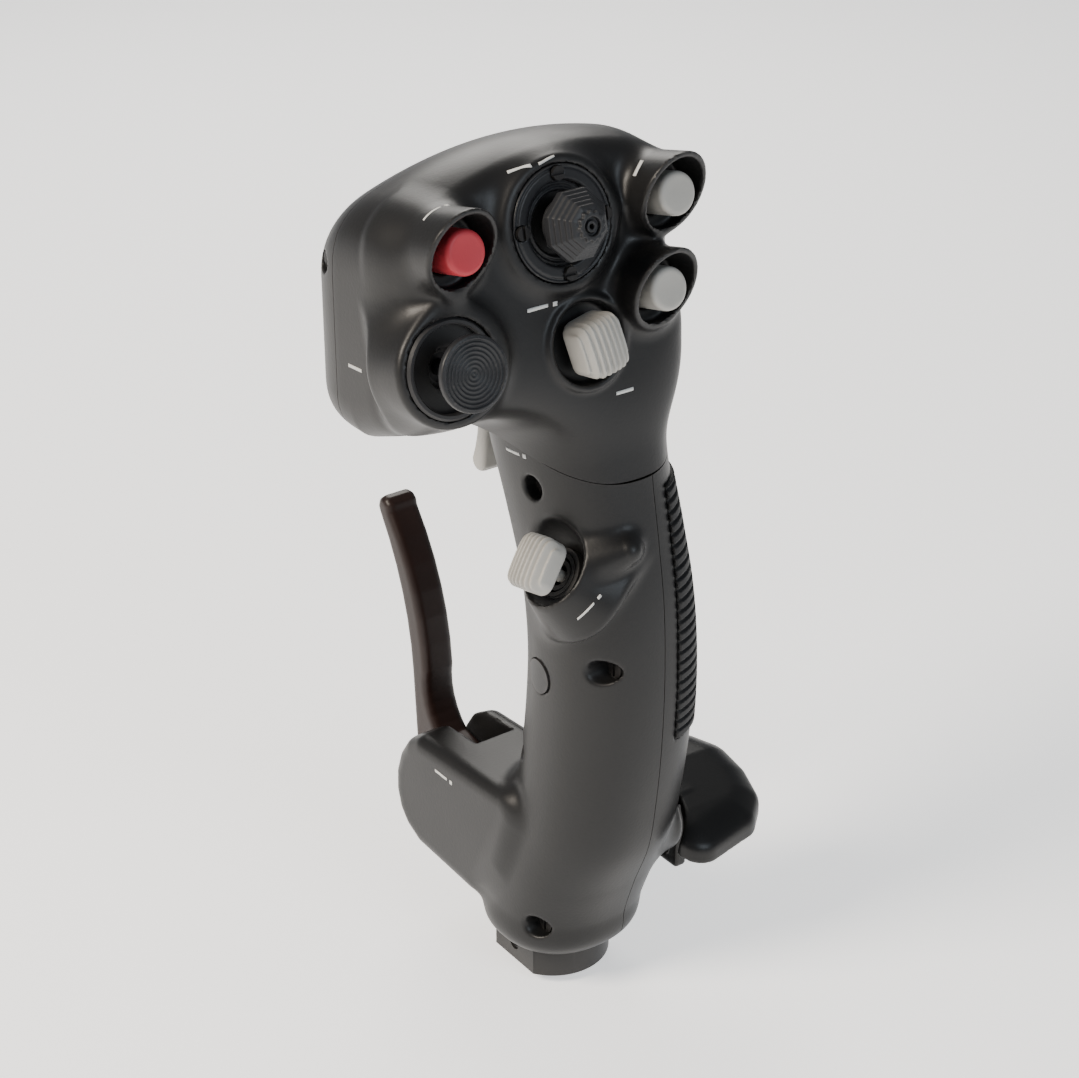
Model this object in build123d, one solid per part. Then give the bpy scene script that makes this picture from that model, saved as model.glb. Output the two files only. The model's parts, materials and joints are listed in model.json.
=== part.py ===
from build123d import *
import os
from math import cos, pi, radians, sin

# Flight joystick grip. Millimetres, +Z up. The origin is the centre of the base collar's
# bottom face, the pilot sits towards -Y, and the palm rest stands out to the right, +X.

# ---------------------------------------------------------------- driving dimensions
WALL = 2.5                 # thickness of the moulded shells
SEAM = 0.15                # half of the gap between two shells
PARTING_X = 8.5            # plane where the left and right grip shells meet
COVER_Y = 11.5             # plane where the head's face shell and front cover meet
BIG = 200.0                # a size larger than the object, for cutting blocks

COLLAR_R = 17.0
COLLAR_H = 10.0
COLLAR_FLAT_X = -14.1
SPIGOT_R = 15.0
SPIGOT_TOP = 16.0
CONNECTOR_R = 6.5

# Grip cross-sections: height, centre x, centre y, half width x, half width y
GRIP_SECTIONS = [
    (10.0, 1.2, -1.0, 19.8, 19.8),
    (13.0, 1.6, -1.3, 21.6, 21.6),
    (22.0, 2.6, -3.0, 22.4, 21.4),
    (34.0, 3.7, -7.0, 22.8, 21.2),
    (50.0, 5.3, -12.4, 22.6, 22.0),
    (68.0, 6.5, -14.6, 22.4, 22.8),
    (90.0, 7.5, -16.2, 22.2, 23.0),
    (110.0, 7.4, -16.6, 21.8, 22.9),
    (130.0, 6.8, -14.4, 21.2, 24.0),
    (148.0, 5.6, -10.2, 20.8, 25.4),
    (168.0, 3.8, -5.6, 20.8, 26.6),
    (186.0, 3.0, -3.0, 22.0, 27.5),
]
# Flared neck under the head, same columns
NECK_SECTIONS = [
    (160.0, 4.6, -7.5, 20.6, 26.0),
    (172.0, 3.4, -4.8, 21.6, 27.0),
    (182.0, 0.0, -4.0, 25.5, 28.5),
    (192.0, -8.0, -3.0, 35.0, 31.0),
    (202.0, -13.0, -2.0, 42.0, 32.0),
]
GRIP_POWER = 2.25          # exponent of the superelliptic sections

FACE_TILT = 13.0           # the pilot face leans forward by this many degrees
FACE_POINT = (0.0, -27.0, 200.0)
HEAD_MID = (-17.0, 3.0)
HEAD_SIZE = (88.0, 62.0)
HEAD_CORNER = 25.0

HAT_STEM_R = 1.7

BUTTON_R = 5.7
BUTTON_FACE_H = 10.0
HOOD_R = 10.8
WELL_R = 9.3
WELL_FLOOR = -1.0
HOOD_SLOPE = 29.0

# Controls on the face: u to the right, v up the face
MASTER_UV = (-13.0, 38.0)
MANEUVER_UV = (-8.5, 6.3)
STICK_UV = (-50.0, 9.5)
BUTTON_UV = {
    "red_button": (-46.5, 38.2),
    "upper_gray_button": (18.3, 39.6),
    "lower_gray_button": (12.2, 16.4),
}
MASTER_BOSS_R = 16.5
MASTER_RING_R = 14.8
MASTER_BORE_R = 10.6
MASTER_SCREW_CIRCLE = 12.6
MANEUVER_POCKET_R = 10.5
STICK_BOSS_R = 15.0
STICK_RING_R = 12.8
STICK_BORE_R = 11.0
STICK_SCALE = 1.25

RESET_POINT = (-14.1, -22.7, 139.5)
RESET_AXIS = (-0.79, 0.07, 0.60)
RESET_CLEAR_R = 9.7   # room round the reset hat's cap when it rocks

HOUSING_X = (-19.5, 12.0)
HOUSING_OUTLINE = [(-9, 61), (46, 56), (54, 46), (57, 34), (53.5, 23.5), (44, 18.3), (15, 16.7), (0, 34)]
LEVER_X = (-6.0, 5.0)
PIVOT_YZ = (24.0, 38.0)
PIVOT_R = 2.0
LEVER_HUB_R = 6.0

TRIGGER_X = (-6.0, 8.0)
TRIGGER_PIVOT_YZ = (26.5, 188.0)
TRIGGER_PIN_R = 1.2
TRIGGER_HUB_R = 3.6

GRIP_SCREWS_YZ = [(-12.0, 162.0, -12.5), (-33.0, 112.8, -4.0), (-0.5, 73.5, -8.5), (-14.7, 21.5, -13.5)]
SCREW_R = 1.5
SCREW_HEAD_R = 2.9
COUNTERBORE_R = 3.4
POST_R = 4.8
HEAD_SCREW_YZ = (17.5, 226.0)
HEAD_SCREW_WALLS = [(-59.6, 1), (25.4, -1)]   # x of each head's top, and its way in
PLUG_YZ = (-12.5, 104.0)
PLUG_R = 5.0

REST_OUTLINE = [(20, -41.5), (46, -37), (54, -30), (57.5, -19), (57.5, -7), (53, 3), (44, 8), (20, 8)]
REST_THICKNESS = 4.0
REST_SCREW = (-15.0, 43.0)
REST_TRAVEL = 12.0
REST_PAD_X = 29.4

FACE = Plane(
    origin=FACE_POINT,
    x_dir=(1, 0, 0),
    z_dir=(0, -cos(radians(FACE_TILT)), sin(radians(FACE_TILT))),
)


# ---------------------------------------------------------------- small helpers
def rod(where, radius, low, high):
    """Cylinder along the local z of a place, from low to high."""
    grown = Cylinder(radius, high - low, align=(Align.CENTER, Align.CENTER, Align.MIN))
    return where * Pos(0, 0, low) * grown


def tube(where, outer, inner, low, high):
    return rod(where, outer, low, high) - rod(where, inner, low - 1, high + 1)


def along_x(y, z):
    """A place at x = 0 whose local z points along +X."""
    return Plane(origin=(0, y, z), x_dir=(0, 1, 0), z_dir=(1, 0, 0)).location


def block(x_range, y_range, z_range):
    size = [b - a for a, b in (x_range, y_range, z_range)]
    return Pos(x_range[0], y_range[0], z_range[0]) * Box(*size, align=(Align.MIN,) * 3)


def on_face(uv):
    return FACE.location * Pos(uv[0], uv[1], 0)


def superellipse(z, x, y, half_x, half_y):
    """Closed cross-section, a little squarer than an ellipse."""
    points = []
    for step in range(24):
        angle = 2 * pi * step / 24
        c, s = cos(angle), sin(angle)
        reach = (abs(c) ** GRIP_POWER + abs(s) ** GRIP_POWER) ** (-1 / GRIP_POWER)
        points.append((x + half_x * reach * c, y + half_y * reach * s, z))
    return make_face(Spline(points, periodic=True))


def lofted(sections, inset):
    faces = [superellipse(z, x, y, a - inset, b - inset) for z, x, y, a, b in sections]
    return loft(faces)


def turned(points, where):
    """Solid of revolution about a place's z axis from (radius, height) points."""
    outline = make_face(Polyline([(r, 0, h) for r, h in points], close=True))
    return where * revolve(outline, Axis.Z)


def coil(where, radius, wire, turns, pitch):
    path = Helix(pitch, pitch * turns, radius)
    start = Plane(origin=path @ 0, z_dir=path % 0)
    return where * sweep(start * Circle(wire), path, is_frenet=True)


def screw(where, length, head_radius, head_height, shank=SCREW_R):
    """Screw whose head's top is at the place, with its shank along local +z."""
    body = rod(where, head_radius, 0, head_height) + rod(where, shank, head_height, length)
    return body - where * Box(0.9, head_radius * 3, 1.6)


# ---------------------------------------------------------------- outer forms
def behind_face(inset):
    slab = Box(BIG, BIG, BIG, align=(Align.CENTER, Align.CENTER, Align.MAX))
    return FACE.location * Pos(0, 0, -inset) * slab


def head_block(inset):
    plan = Pos(*HEAD_MID) * RectangleRounded(
        HEAD_SIZE[0] - 2 * inset, HEAD_SIZE[1] - 2 * inset, HEAD_CORNER - inset
    )
    column = extrude(Pos(0, 0, 170) * plan, 100)
    side = Plane.YZ * make_face(
        Line((-28.6, 193), (-16.4, 246))
        + ThreePointArc((-16.4, 246), (-2, 254.5), (18, 249))
        + ThreePointArc((18, 249), (30, 240), (34.5, 224))
        + Line((34.5, 224), (34.5, 192))
        + ThreePointArc((34.5, 192), (32, 184), (24, 180))
        + Line((24, 180), (5, 180))
        + Line((5, 180), (-28.6, 193))
    )
    front = Plane.XZ * make_face(
        ThreePointArc((-44, 179), (-57, 187), (-62, 206))
        + ThreePointArc((-62, 206), (-57, 236), (-36, 250.5))
        + ThreePointArc((-36, 250.5), (-8, 255.2), (27, 248))
        + Line((27, 248), (27, 212))
        + Line((27, 212), (22, 190))
        + Line((22, 190), (22, 179))
        + Line((22, 179), (-44, 179))
    )
    shapes = [extrude(offset(face, -inset), BIG, both=True) for face in (side, front)]
    return column & shapes[0] & shapes[1]


def head_form(inset):
    neck = lofted(NECK_SECTIONS, inset) & behind_face(inset)
    return head_block(inset) + neck


def housing_form(inset):
    outline = fillet(Polygon(*HOUSING_OUTLINE, align=None).vertices(), 4.0)
    placed = Plane.YZ * offset(outline, -inset)
    grown = extrude(placed, BIG, both=True)
    return grown & block((HOUSING_X[0] + inset, HOUSING_X[1] - inset), (-20, 70), (0, 80))


def grip_form(inset):
    return lofted(GRIP_SECTIONS, inset)


def above_seam(shift):
    """Half-space above the sloping seam between the grip shells and the head."""
    seam = Plane(origin=(0, -31, 167), x_dir=(1, 0, 0), z_dir=(0, -0.265, 0.964))
    slab = Box(BIG, BIG, BIG, align=(Align.CENTER, Align.CENTER, Align.MIN))
    return seam.location * Pos(0, 0, shift) * slab


# ---------------------------------------------------------------- hat switches
def hat_unit(where, k, cap_low, cap):
    """Two-axis rocking hat: cap on a stem, gimbal ring, plunger cup and switch can.

    The rocking centre is the place's origin and the stem points along local z.
    """
    stem = rod(where, HAT_STEM_R * k, -1.5 * k, cap_low + 0.5)
    cross = where * Rot(0, 90, 0) * Cylinder(0.6 * k, 8.2 * k)
    ring = tube(where, 4.3 * k, 3.0 * k, -1.2 * k, 1.2 * k)
    ring -= where * Rot(0, 90, 0) * Cylinder(0.65 * k, 12 * k)
    for side in (-1, 1):
        ring += where * Pos(0, side * 5.05 * k, 0) * Rot(90, 0, 0) * Cylinder(0.6 * k, 1.9 * k)
    cup = rod(where, 6.2 * k, -4.5 * k, 1.6 * k) - rod(where, 5.0 * k, -3.0 * k, 3 * k)
    cup -= where * Rot(90, 0, 0) * Cylinder(0.65 * k, 12.2 * k)
    can = rod(where, 7.6 * k, -9.0 * k, 1.4 * k) - rod(where, 6.35 * k, -6.0 * k, 3 * k)
    return {"cap": cap + stem + cross, "rocker": ring, "plunger": cup, "base": can}


def named(prefix, unit):
    return {prefix + "_" + piece: shape for piece, shape in unit.items()}


def stepped_cap(where, low, high):
    """Eight-sided stepped pyramid with a small hole in its crown."""
    steps = 5
    tread = (high - low) / steps
    cap = Part()
    for level in range(steps):
        radius = 8.6 - 1.25 * level
        layer = extrude(RegularPolygon(radius, 8, rotation=22.5), tread + 0.2)
        cap += where * Pos(0, 0, low + tread * level - 0.1) * layer
    return cap - rod(where, 1.0, high - 3, high + 1)


def ribbed_cap(where, low, high, turn):
    """Barrel-topped thumb cap with parallel ribs across its crown."""
    place = where * Rot(0, 0, turn)
    body = place * Pos(0, 0, low) * extrude(RectangleRounded(12.8, 14.8, 3.5), high - low)
    crown = place * Pos(0, 0, high - 20) * Rot(90, 0, 0) * Cylinder(20, 20)
    cap = body & crown
    for rib in range(-3, 4):
        groove = Pos(rib * 1.6, 0, high + 0.2) * Rot(90, 0, 0) * Cylinder(0.6, 20)
        cap -= place * groove
    return cap


def disc_cap(where, low, high):
    """Concave round thumb disc with concentric ridges on a tapered cup."""
    cap = turned([(0, low), (4.5, low), (7.4, high - 2.4), (9.7, high - 2.4), (9.7, high), (0, high)], where)
    for ring in range(1, 9):
        radius = 1.05 * ring
        cap -= tube(where, radius + 0.35, radius, high - 0.5, high + 1)
    return cap


# Rocking centres of the four units, one below each pocket's floor plate
MASTER_AT = on_face(MASTER_UV) * Pos(0, 0, -3.8)
MANEUVER_AT = on_face(MANEUVER_UV) * Pos(0, 0, -6.8)
STICK_AT = on_face(STICK_UV) * Pos(0, 0, -5.5)
RESET_AT = Plane(origin=RESET_POINT, x_dir=(0.60, 0, 0.79), z_dir=RESET_AXIS).location


def hats():
    nodes = named("master_hat", hat_unit(MASTER_AT, 1.0, 6.4, stepped_cap(MASTER_AT, 6.4, 19.8)))
    maneuver = ribbed_cap(MANEUVER_AT, 6.4, 16.8, 12)
    nodes |= named("maneuver_hat", hat_unit(MANEUVER_AT, 1.0, 6.4, maneuver))
    reset = ribbed_cap(RESET_AT, 6.4, 14.5, 100)
    nodes |= named("reset_hat", hat_unit(RESET_AT, 1.0, 6.4, reset))
    stick = hat_unit(STICK_AT, STICK_SCALE, 7.0, disc_cap(STICK_AT, 7.0, 17.5))
    stick["base"] += stick.pop("plunger")
    stick["base"] += tube(STICK_AT, 6.4 * STICK_SCALE, 6.1 * STICK_SCALE, -4.5 * STICK_SCALE, 1.4 * STICK_SCALE)
    return nodes | named("ministick", stick)


# ---------------------------------------------------------------- head
def hooded_boss(uv):
    """Button hood: a cylinder cut off obliquely, tall above the button and low below it."""
    boss = rod(on_face(uv), HOOD_R, -14, 14.5)
    slab = Box(60, 60, 60, align=(Align.CENTER, Align.CENTER, Align.MIN))
    return boss - on_face(uv) * Pos(0, 0, 8.6) * Rot(HOOD_SLOPE, 0, 0) * slab


def head_outside():
    head = head_form(0)
    for uv in BUTTON_UV.values():
        head += hooded_boss(uv)
    head += rod(on_face(MASTER_UV), MASTER_BOSS_R, -12, 1.6)
    head += rod(on_face(MANEUVER_UV), MANEUVER_POCKET_R + 1.2, -6, 1.0)
    head += rod(on_face(STICK_UV), STICK_BOSS_R, -14, 1.0)
    return head


def add_cup(shell, where, radius, floor, plate, hole):
    """Pocket with a floor plate that has a hole in its middle."""
    shell += rod(where, radius + 1.8, floor - plate, 0)
    shell -= rod(where, radius, floor, 40)
    return shell - rod(where, hole, floor - plate - 1, floor + 1)


def head_shell():
    shell = head_outside() - head_form(WALL)
    for uv in BUTTON_UV.values():
        shell = add_cup(shell, on_face(uv), WELL_R, WELL_FLOOR, 2.0, BUTTON_R + 0.25)
        shell -= rod(on_face(uv), BUTTON_R + 1.2, -14, WELL_FLOOR - 2.0)
    shell = add_cup(shell, on_face(MASTER_UV), MASTER_BORE_R, 0.0, 2.0, 4.0)
    shell -= tube(on_face(MASTER_UV), MASTER_RING_R + 0.1, MASTER_BORE_R - 1, 0.0, 4)
    shell = add_cup(shell, on_face(MANEUVER_UV), MANEUVER_POCKET_R, -3.0, 2.0, 4.0)
    shell = add_cup(shell, on_face(STICK_UV), STICK_BORE_R, -0.6, 2.4, 5.2)
    shell -= tube(on_face(STICK_UV), STICK_RING_R + 0.1, STICK_BORE_R - 1, -0.6, 4)
    for at in (MASTER_AT, MANEUVER_AT):
        shell -= rod(at, 7.75, -12, 1.75)
    shell -= rod(STICK_AT, 7.75 * STICK_SCALE, -14, 2.35)
    return shell & above_seam(SEAM)


def split_head():
    shell = head_shell()
    face_side = block((-BIG, BIG), (-BIG, COVER_Y - SEAM), (100, 300))
    cover_side = block((-BIG, BIG), (COVER_Y + SEAM, BIG), (100, 300))
    face = shell & face_side
    cover = shell & cover_side
    y, z = HEAD_SCREW_YZ
    lug_room = head_block(WALL + 0.3) + (head_block(0.5) & face_side)
    for wall_x, way in HEAD_SCREW_WALLS:
        place = along_x(y, z)
        inner = wall_x + way * WALL
        lug = sorted((inner - way * 3.0, inner + way * 5.0))
        face += block(lug, (COVER_Y - 8, y + 4), (z - 4, z + 4)) & lug_room
        drill = sorted((wall_x - way * 6, inner + way * 9))
        face -= rod(place, SCREW_R + 0.02, *drill)
        cover -= rod(place, SCREW_R + 0.15, *drill)
        cover -= rod(place, 2.75, *sorted((wall_x - way * 6, wall_x + way * 1.05)))
    y, z = TRIGGER_PIVOT_YZ
    cover -= block((TRIGGER_X[0] - 0.5, TRIGGER_X[1] + 0.5), (y - 8, y + 4.5), (170, z - 1))
    for low in (TRIGGER_X[0] - 5.0, TRIGGER_X[1] + 2.2):
        cover += block((low, low + 2.8), (y - 5, 33.5), (z - 6, z + 5)) & head_block(1.0)
    cover -= rod(along_x(y, z), TRIGGER_HUB_R + 0.5, TRIGGER_X[0] - 0.5, TRIGGER_X[1] + 0.5)
    cover -= rod(along_x(y, z), TRIGGER_PIN_R + 0.02, TRIGGER_X[0] - 4.0, TRIGGER_X[1] + 4.0)
    return face, cover


def head_screws():
    y, z = HEAD_SCREW_YZ
    places = [Plane(origin=(x, y, z), x_dir=(0, 1, 0), z_dir=(way, 0, 0)) for x, way in HEAD_SCREW_WALLS]
    return Compound([screw(place.location, 9.0, 2.6, 1.0) for place in places])


def buttons():
    nodes = {}
    switches = []
    for name, uv in BUTTON_UV.items():
        at = on_face(uv)
        cap = rod(at, BUTTON_R, -3.2, BUTTON_FACE_H)
        nodes[name] = cap + rod(at, BUTTON_R + 0.9, -4.4, -3.2)
        switches.append(rod(at, 6.0, -12.0, -6.6) + rod(at, 1.5, -6.6, -6.1))
    nodes["button_switches"] = Compound(switches)
    return nodes


def hat_trim():
    at = on_face(MASTER_UV)
    ring = turned([(MASTER_BORE_R, 0.05), (MASTER_RING_R, 0.05), (MASTER_RING_R, 2.6),
                   (MASTER_RING_R - 0.8, 3.2), (MASTER_BORE_R + 1.4, 2.8), (MASTER_BORE_R, 1.6)], at)
    screws = []
    for quarter in range(4):
        place = at * Rot(0, 0, 90 * quarter) * Pos(MASTER_SCREW_CIRCLE, 0, 3.9) * Rot(180, 0, 0)
        ring -= rod(place, 1.0, -2, 6)
        ring -= rod(place, 1.9, -2, 1.6)
        screws.append(screw(place, 3.8, 1.8, 1.4, 0.95))
    stick = turned([(STICK_BORE_R, -0.55), (STICK_RING_R, -0.55), (STICK_RING_R, 1.0),
                    (STICK_RING_R - 0.6, 1.7), (STICK_BORE_R + 0.4, 1.7), (STICK_BORE_R, 1.2)],
                   on_face(STICK_UV))
    return {"master_hat_ring": ring, "master_hat_screws": Compound(screws), "ministick_trim_ring": stick}


def trigger_parts():
    y, z = TRIGGER_PIVOT_YZ
    low_x, high_x = TRIGGER_X
    profile = make_face(
        Line((y - 3.4, z), (y - 2.6, z - 22))
        + Line((y - 2.6, z - 22), (y - 1.2, z - 38))
        + ThreePointArc((y - 1.2, z - 38), (y + 2.2, z - 40), (y + 5, z - 36.5))
        + ThreePointArc((y + 5, z - 36.5), (y + 2.2, z - 26), (y + 3.0, z - 12))
        + Line((y + 3.0, z - 12), (y + 3.4, z))
        + Line((y + 3.4, z), (y - 3.4, z))
    )
    blade = extrude(Plane.YZ * profile, BIG, both=True) & block((low_x, high_x), (0, 60), (100, 220))
    place = along_x(y, z)
    blade += rod(place, TRIGGER_HUB_R, low_x, high_x)
    blade -= rod(place, TRIGGER_PIN_R + 0.05, low_x - 1, high_x + 1)
    pin = rod(place, TRIGGER_PIN_R, low_x - 3.9, high_x + 3.9)
    spring_at = Pos(high_x + 0.4, y, z) * Rot(0, 90, 0)
    spring = coil(spring_at * Pos(0, 0, 0.1), 2.0, 0.25, 2, 0.62)
    switch = block((-4, 6), (12.5, 19.0), (184, 192)) - block((-5, 7), (12, 15), (190, 193))
    return {"trigger": blade, "trigger_pin": pin, "trigger_spring": spring, "trigger_switch": switch}


# ---------------------------------------------------------------- grip
def reset_boss(radius_low, radius_high, low, high):
    return RESET_AT * Pos(0, 0, low) * Cone(
        radius_low, radius_high, high - low, align=(Align.CENTER, Align.CENTER, Align.MIN)
    )


def grip_shell():
    y, z = REST_SCREW
    pad = rod(along_x(y, z), 10.5, PARTING_X + 2, REST_PAD_X)
    outside = grip_form(0) + housing_form(0) + pad + reset_boss(17, 10.4, -9, 3.9)
    shell = outside - grip_form(WALL) - housing_form(WALL)
    shell += reset_boss(11, 10.4, -9, 3.9)
    shell -= rod(RESET_AT, 7.75, -25, 1.75)
    shell -= rod(RESET_AT, 4.2, 0, 6)
    shell -= rod(RESET_AT, RESET_CLEAR_R, 3.9, 20)
    for py, pz, _ in GRIP_SCREWS_YZ:
        shell += rod(along_x(py, pz), POST_R, -40, 50) & grip_form(0.4)
    spigot_grip = tube(Pos(0, 0, 0), SPIGOT_R + 6, SPIGOT_R + 0.05, 11.5, SPIGOT_TOP - 0.5) & grip_form(0.5)
    trigger_notch = block((TRIGGER_X[0] - 0.6, TRIGGER_X[1] + 0.6), (18.0, 60), (157, 200))
    return (shell + spigot_grip) - above_seam(-SEAM) - trigger_notch


def pivot_bosses():
    place = along_x(*PIVOT_YZ)
    left = rod(place, 4.6, HOUSING_X[0] + 1, -10.6)
    right = rod(place, 4.6, LEVER_X[1] + 0.6, HOUSING_X[1] - 1)
    bore = rod(place, PIVOT_R + 0.02, -15, HOUSING_X[1] - 1.5)
    return left, right, bore


def grip_shells():
    shell = grip_shell()
    slot_x = (LEVER_X[0] - 1.0, LEVER_X[1] + 1.2)
    shell -= block(slot_x, (29, 80), (46, 80))
    shell -= block(slot_x, (46, 80), (29, 80))
    left = shell & block((-BIG, PARTING_X - SEAM), (-BIG, BIG), (0, BIG))
    right = shell & block((PARTING_X + SEAM, BIG), (-BIG, BIG), (0, BIG))
    boss_left, boss_right, bore = pivot_bosses()
    left += boss_left
    left += block((-17.5, -9.8), (33, 39), (35, 41)) & housing_form(1.0)
    left -= bore
    right = right + boss_right - bore
    left -= rod(along_x(*PIVOT_YZ), 4.9, LEVER_X[1] + 0.3, 12)
    for y, z, head_x in GRIP_SCREWS_YZ:
        left -= rod(along_x(y, z), COUNTERBORE_R, -60, head_x + 3.0)
        left -= rod(along_x(y, z), SCREW_R + 0.1, -60, 20)
        right -= rod(along_x(y, z), SCREW_R + 0.02, 0, PARTING_X + 9)
    y, z = REST_SCREW
    right -= rod(along_x(y, z), 2.1, PARTING_X + 2, 40)
    left -= rod(along_x(*PLUG_YZ), PLUG_R + 0.1, -40, -8)
    pad = pad_form(0.0)
    right -= pad
    return left, right


def pad_form(gap):
    """Region of the rubber pad on the right rear of the grip."""
    skin = grip_form(-0.9) - grip_form(0.8 - gap)
    return skin & block((13.5 + gap, 40), (-60, -14 - gap), (86 + gap, 162 - gap))


def grip_pad():
    pad = pad_form(0.05)
    for row in range(24):
        pad -= block((10, 40), (-60, -10), (88 + 3.1 * row, 88.9 + 3.1 * row)) - grip_form(-0.1)
    return pad


def grip_screws():
    return Compound([
        screw(Plane(origin=(x, y, z), x_dir=(0, 1, 0), z_dir=(1, 0, 0)).location,
              PARTING_X + 8 - x, SCREW_HEAD_R, 2.6)
        for y, z, x in GRIP_SCREWS_YZ
    ])


def blanking_plug():
    place = along_x(*PLUG_YZ)
    plug = rod(place, PLUG_R, -40, -8) & (grip_form(-0.35) - grip_form(WALL))
    return plug + rod(place, PLUG_R - 1.2, -13.5, -8)


# ---------------------------------------------------------------- base and inside
def base_parts():
    origin = Pos(0, 0, 0)
    collar = rod(origin, COLLAR_R, 0, COLLAR_H - 0.3) + rod(origin, SPIGOT_R, 0, SPIGOT_TOP)
    collar -= block((-40, COLLAR_FLAT_X), (-40, 40), (-1, COLLAR_H + 1))
    collar -= rod(origin, CONNECTOR_R + 0.05, -1, SPIGOT_TOP + 1)
    collar -= rod(origin, 12.4, 11, SPIGOT_TOP + 1)
    hole = along_x(0, 5.5)
    collar -= rod(hole, 2.02, -20, 0)
    set_screw = rod(hole, 2.0, -13.6, -7.4) - rod(hole, 1.1, -14, -11)
    connector = rod(origin, CONNECTOR_R, 2.0, 22) - rod(origin, 5.2, 1, 6)
    places = [Pos(3.0 * cos(radians(45 * n)), 3.0 * sin(radians(45 * n)), 0) for n in range(5)]
    for place in places:
        connector -= rod(place, 0.52, 1, 30)
    pins = Compound([rod(place, 0.5, 3.0, 24) for place in places])
    return {"base_collar": collar, "base_connector": connector, "connector_pins": pins,
            "collar_set_screw": set_screw}


def brake_parts():
    y, z = PIVOT_YZ
    profile = make_face(
        Line((y, z + LEVER_HUB_R), (50.5, 48.5))
        + ThreePointArc((50.5, 48.5), (56.2, 56), (57.5, 68))
        + ThreePointArc((57.5, 68), (63.5, 94), (76.5, 115))
        + ThreePointArc((76.5, 115), (80.0, 120.6), (82, 116.5))
        + ThreePointArc((82, 116.5), (70, 93), (66, 66))
        + Line((66, 66), (64.5, 42))
        + ThreePointArc((64.5, 42), (61, 35.5), (54, 33.2))
        + Line((54, 33.2), (y, z - LEVER_HUB_R))
        + Line((y, z - LEVER_HUB_R), (y, z + LEVER_HUB_R))
    )
    place = along_x(y, z)
    lever = extrude(Plane.YZ * profile, BIG, both=True) & block(LEVER_X, (0, 100), (0, 140))
    lever += rod(place, LEVER_HUB_R, *LEVER_X)
    lever -= rod(place, PIVOT_R + 0.05, LEVER_X[0] - 1, LEVER_X[1] + 1)
    magnet_at = along_x(36, 38)
    lever -= rod(magnet_at, 2.52, LEVER_X[0] - 1, LEVER_X[0] + 2.5)
    magnet = rod(magnet_at, 2.5, LEVER_X[0], LEVER_X[0] + 2.5)
    pin = rod(place, PIVOT_R, -14.8, HOUSING_X[1] - 1.8)
    spring = coil(Pos(-10.0, y, z) * Rot(0, 90, 0), 2.9, 0.4, 3, 1.0)
    board = block((-9.8, -8.2), (31, 43), (32.5, 43.5)) + block((-8.2, -7.4), (34.5, 37.5), (36.5, 39.5))
    return {"brake_lever": lever, "brake_magnet": magnet, "brake_pivot_pin": pin,
            "brake_return_spring": spring, "brake_sensor_board": board}


def electronics():
    board = block((-1.6, 0), (-24, -6), (46, 98))
    board += block((0, 1.4), (-20, -12), (70, 78))
    board += block((0, 5.0), (-22, -8), (50, 55))
    board += block((0, 5.0), (-22, -8), (90, 95))
    path = FilletPolyline((0, -1, 24.2), (4, -3, 42), (9, -9, 62), (9, -10.5, 86), (8, -10, 112),
                          (5, -6, 138), (2, 1, 162), (-2, 4, 190), radius=14)
    start = Plane(origin=path @ 0, z_dir=path % 0)
    harness = sweep(start * Circle(1.6), path)
    return {"controller_board": board, "wire_harness": harness}


# ---------------------------------------------------------------- palm rest
def palm_rest_parts():
    outline = fillet(Polygon(*REST_OUTLINE, align=None).vertices().sort_by(Axis.X)[2:], 5.0)
    plan = extrude(outline, 100)
    top = Spline([(12, 56.5), (-10, 55.4), (-28, 50.5), (-46, 45)])
    slab = make_face(
        top + Line((-46, 45), (-46, 45 - REST_THICKNESS))
        + Spline([(-46, 45 - REST_THICKNESS), (-28, 50.5 - REST_THICKNESS),
                  (-10, 55.4 - REST_THICKNESS), (12, 56.5 - REST_THICKNESS)])
        + Line((12, 56.5 - REST_THICKNESS), (12, 56.5))
    )
    rest = plan & extrude(Plane.YZ * slab, BIG, both=True)
    y, z = REST_SCREW
    carriage_x = (REST_PAD_X + 0.35, REST_PAD_X + 4.6)
    rest += block(carriage_x, (y - 6, y + 6), (z - REST_TRAVEL - 5, z + 6.5))
    around = grip_form(-1.3) + rod(along_x(y, z), 10.9, 0, REST_PAD_X + 0.32)
    for shift in range(0, 13, 4):
        rest -= Pos(0, 0, -shift) * around
    slot = rod(along_x(y, z), 2.3, 20, 60) + rod(along_x(y, z - REST_TRAVEL), 2.3, 20, 60)
    slot += block((20, 60), (y - 2.3, y + 2.3), (z - REST_TRAVEL, z))
    rest -= slot
    knob = rod(along_x(y, z), 4.6, carriage_x[1] + 0.3, carriage_x[1] + 3.2)
    clamp = knob + rod(along_x(y, z), 2.0, 19.5, carriage_x[1] + 1)
    clamp -= rod(along_x(y, z), 1.6, carriage_x[1] + 1.2, carriage_x[1] + 4)
    nut = extrude(RegularPolygon(4.4, 6), 3.0)
    nut = along_x(y, z) * Pos(0, 0, 20.2) * nut - rod(along_x(y, z), 2.02, 15, 30)
    return {"palm_rest": rest, "palm_rest_clamp_screw": clamp, "palm_rest_nut": nut}


# ---------------------------------------------------------------- the whole grip
def model():
    face, cover = split_head()
    left, right = grip_shells()
    nodes = {
        "head_face_shell": face,
        "head_front_cover": cover,
        "head_screws": head_screws(),
        "grip_left_shell": left,
        "grip_right_shell": right,
        "grip_pad": grip_pad(),
        "grip_screws": grip_screws(),
        "blanking_plug": blanking_plug(),
    }
    for group in (hats(), buttons(), hat_trim(), trigger_parts(), base_parts(),
                  brake_parts(), electronics(), palm_rest_parts()):
        nodes |= group
    return nodes


os.makedirs("parts", exist_ok=True)
for name, shape in model().items():
    export_step(shape, "parts/" + name + ".step")
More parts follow.
